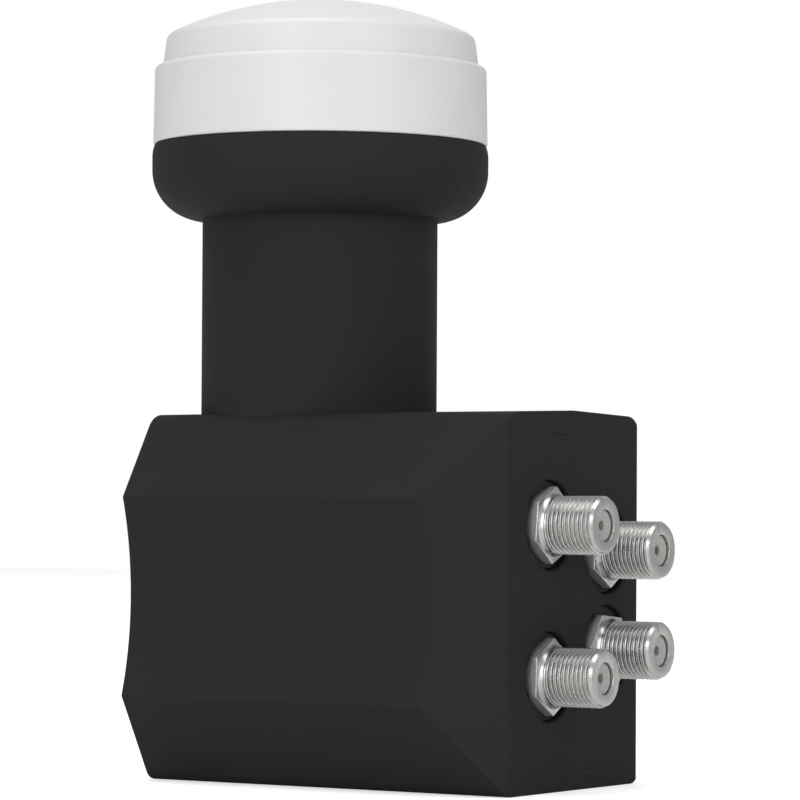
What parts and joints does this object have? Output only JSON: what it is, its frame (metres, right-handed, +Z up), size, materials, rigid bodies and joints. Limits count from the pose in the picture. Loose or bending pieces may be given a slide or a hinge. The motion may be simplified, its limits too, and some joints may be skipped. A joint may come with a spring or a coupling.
{
  "type": "satellite low-noise block converter",
  "caption": "Waisted black housing with a round neck, a wide cup under a white domed cap, and threaded coaxial sockets on one end face; receives microwaves from a dish.",
  "frame": {"origin": "where the neck's axis meets the housing's flat lower face", "axes": "+Z up the neck towards the white cap, +X the way the sockets leave, -Y the front shell's side"},
  "size_m": [0.0892, 0.0572, 0.1319],
  "materials": {
    "housing_plastic": "fine moulded texture, black",
    "cap_plastic": "satin, white",
    "plated_metal": "bright nickel plate",
    "insulator_plastic": "plain, light grey",
    "contact_metal": "plain",
    "seal_rubber": "plain, black",
    "cast_metal": "as cast",
    "screw_steel": "zinc plated",
    "absorber_foam": "matte, dark grey",
    "board_laminate": "green lacquer",
    "tinned_sheet": "tinned",
    "chip_resin": "matte, black",
    "capacitor_body": "plain, tan"
  },
  "bodies": {
    "root": {"front_shell": "housing_plastic", "rear_shell": "housing_plastic", "feed_cap": "cap_plastic", "cap_seal": "seal_rubber", "chassis_casting": "cast_metal", "chassis_cover": "cast_metal", "cover_gasket": "seal_rubber", "cover_screws": "screw_steel", "absorber_pad": "absorber_foam", "rf_board": "board_laminate", "board_screws": "screw_steel", "shield_can": "tinned_sheet", "low_noise_transistors": "chip_resin", "converter_chips": "chip_resin", "switch_chip": "chip_resin", "crystal": "tinned_sheet", "voltage_regulators": "chip_resin", "filter_capacitors": "capacitor_body", "choke_coils": "chip_resin", "horizontal_probe": "contact_metal", "vertical_probe": "contact_metal", "probe_sleeves": "insulator_plastic", "isolation_pin": "cast_metal", "connector_body_upper_front": "plated_metal", "connector_insulator_upper_front": "insulator_plastic", "connector_contact_upper_front": "contact_metal", "connector_seal_upper_front": "seal_rubber", "connector_body_lower_front": "plated_metal", "connector_insulator_lower_front": "insulator_plastic", "connector_contact_lower_front": "contact_metal", "connector_seal_lower_front": "seal_rubber", "connector_body_upper_rear": "plated_metal", "connector_insulator_upper_rear": "insulator_plastic", "connector_contact_upper_rear": "contact_metal", "connector_seal_upper_rear": "seal_rubber", "connector_body_lower_rear": "plated_metal", "connector_insulator_lower_rear": "insulator_plastic", "connector_contact_lower_rear": "contact_metal", "connector_seal_lower_rear": "seal_rubber"}
  },
  "joints": []
}
